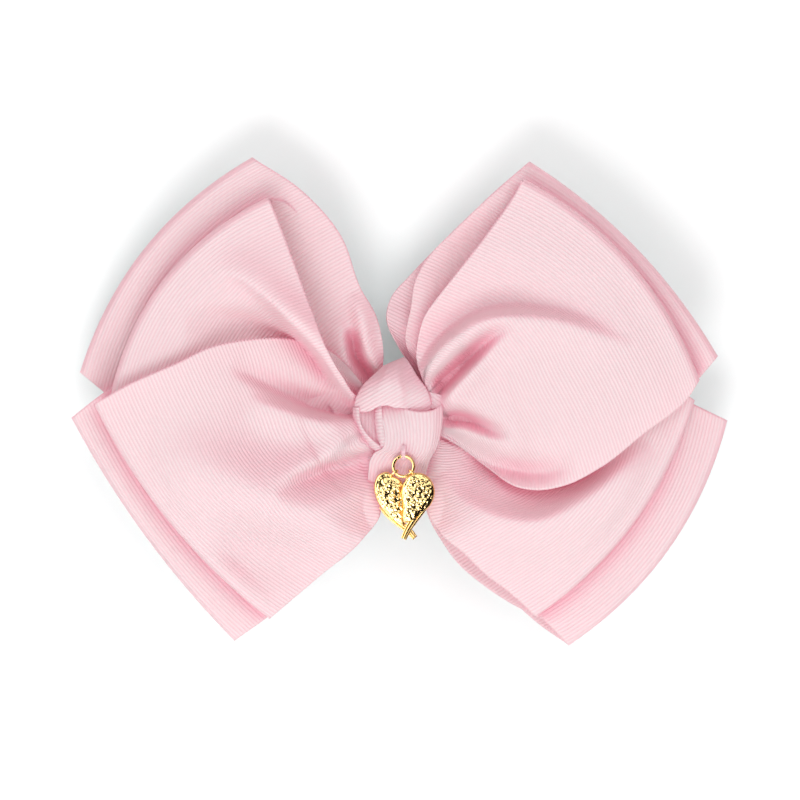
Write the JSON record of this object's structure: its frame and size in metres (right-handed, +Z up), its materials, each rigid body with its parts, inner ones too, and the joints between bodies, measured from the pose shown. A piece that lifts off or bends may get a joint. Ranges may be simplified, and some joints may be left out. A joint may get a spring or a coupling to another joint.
{
  "type": "hair bow",
  "caption": "Large hair bow of wide ribbed ribbon loops crossed in two layers, tied with a knot, on a lined alligator clip, with a two-wing heart charm on a jump ring.",
  "frame": {"origin": "on the flat outer face of the clip's moving jaw, the face that lies on the hair, straight behind the middle of the bow", "axes": "+Z up as worn, -Y out of the bow's front, +X to the right of someone looking at the front"},
  "size_m": [0.1805, 0.0468, 0.135],
  "materials": {
    "ribbon": "matt grosgrain with a fine cross rib, pale pink",
    "thread": "twisted sewing thread, pale pink",
    "felt": "matt pressed felt, pink",
    "glue": "set hot-melt glue, milky",
    "clip_steel": "nickel-plated pressed steel",
    "gold": "bright hammered gold plate"
  },
  "bodies": {
    "bow": {"rear_ribbon_falling": "ribbon", "rear_ribbon_rising": "ribbon", "front_ribbon_falling": "ribbon", "front_ribbon_rising": "ribbon", "knot_ribbon": "ribbon", "gathering_thread": "thread", "charm_stitch": "thread", "backing_felt": "felt", "glue_pad": "glue", "clip_fixed_jaw": "clip_steel", "clip_hinge_pin": "clip_steel", "clip_spring": "clip_steel", "clip_lining_ribbon": "ribbon"},
    "jaw": {"clip_moving_jaw": "clip_steel"},
    "ring": {"jump_ring": "gold"},
    "left_wing": {"charm_left_wing": "gold"},
    "right_wing": {"charm_right_wing": "gold"}
  },
  "joints": [
    {"name": "clip_open", "type": "hinge", "parent": "bow", "child": "jaw", "pos_m": [0.016, -0.0031, 0], "axis": [0, 0, -1], "range_deg": [0, 28], "stiffness_Nm_per_rad": 0.06, "springref_deg": -22.92, "deforming": ["clip_spring"]},
    {"name": "ring_swing", "type": "hinge", "parent": "bow", "child": "ring", "pos_m": [0.0004, -0.02778, -0.01178], "axis": [-1, 0, 0], "range_deg": [0, 90]},
    {"name": "left_wing_swing", "type": "hinge", "parent": "ring", "child": "left_wing", "pos_m": [-0.00189, -0.02778, -0.01619], "axis": [0, 1, 0], "range_deg": [-15, 15]},
    {"name": "right_wing_swing", "type": "hinge", "parent": "ring", "child": "right_wing", "pos_m": [0.00269, -0.02778, -0.01619], "axis": [0, 1, 0], "range_deg": [-15, 15]}
  ]
}
